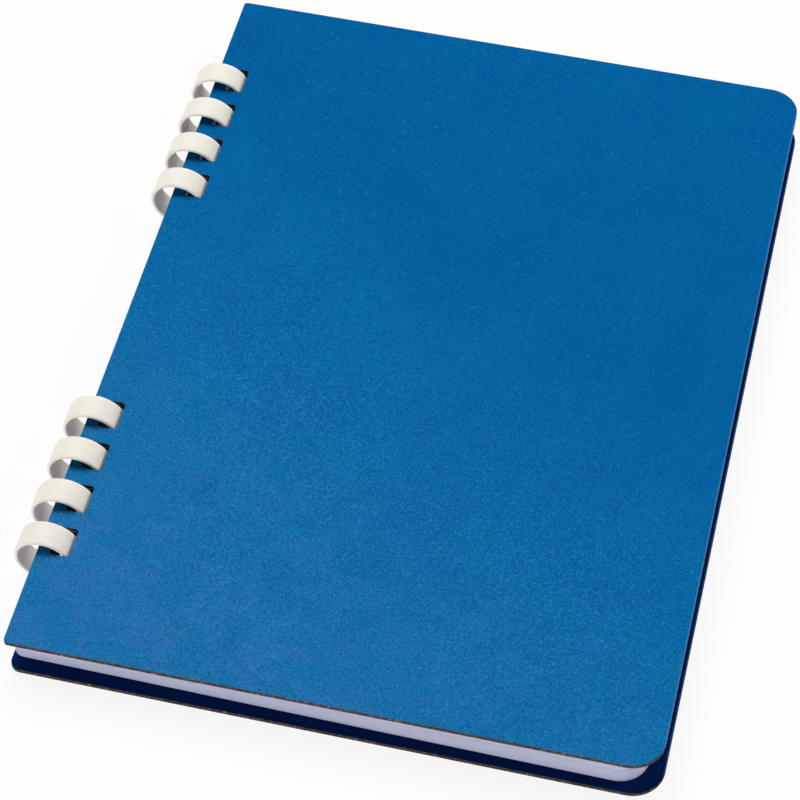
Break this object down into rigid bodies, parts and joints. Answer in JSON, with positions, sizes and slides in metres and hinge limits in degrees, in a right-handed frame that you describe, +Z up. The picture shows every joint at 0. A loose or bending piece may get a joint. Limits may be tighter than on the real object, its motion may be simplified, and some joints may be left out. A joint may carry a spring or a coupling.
{
  "type": "spiral notebook",
  "caption": "Ring-bound notebook with two blue board covers and a block of leaves on flat plastic rings; the covers open right round.",
  "frame": {"origin": "under the middle of the outline, on the surface that the rings rest on", "axes": "+X from the spine to the fore-edge, +Y to the head of the page, +Z up out of the front cover"},
  "size_m": [0.155, 0.2108, 0.0141],
  "materials": {
    "cover_board": "matte, fibrous blue paper on both faces and a raw dark edge",
    "leaves": "matte, fine cut edges",
    "ring_plastic": "satin cream"
  },
  "bodies": {
    "leaves": {"page_block": "leaves", "ring_1": "ring_plastic", "ring_2": "ring_plastic", "ring_3": "ring_plastic", "ring_4": "ring_plastic", "ring_5": "ring_plastic", "ring_6": "ring_plastic", "ring_7": "ring_plastic", "ring_8": "ring_plastic"},
    "front_cover": {"front_cover": "cover_board"},
    "back_cover": {"back_cover": "cover_board"}
  },
  "joints": [
    {"name": "front_cover_turn", "type": "hinge", "parent": "leaves", "child": "front_cover", "pos_m": [-0.07153, 0, 0.00815], "axis": [0, -1, 0], "range_deg": [0, 180]},
    {"name": "back_cover_turn", "type": "hinge", "parent": "leaves", "child": "back_cover", "pos_m": [-0.07047, 0, 0.00705], "axis": [0, 1, 0], "range_deg": [0, 180]}
  ]
}
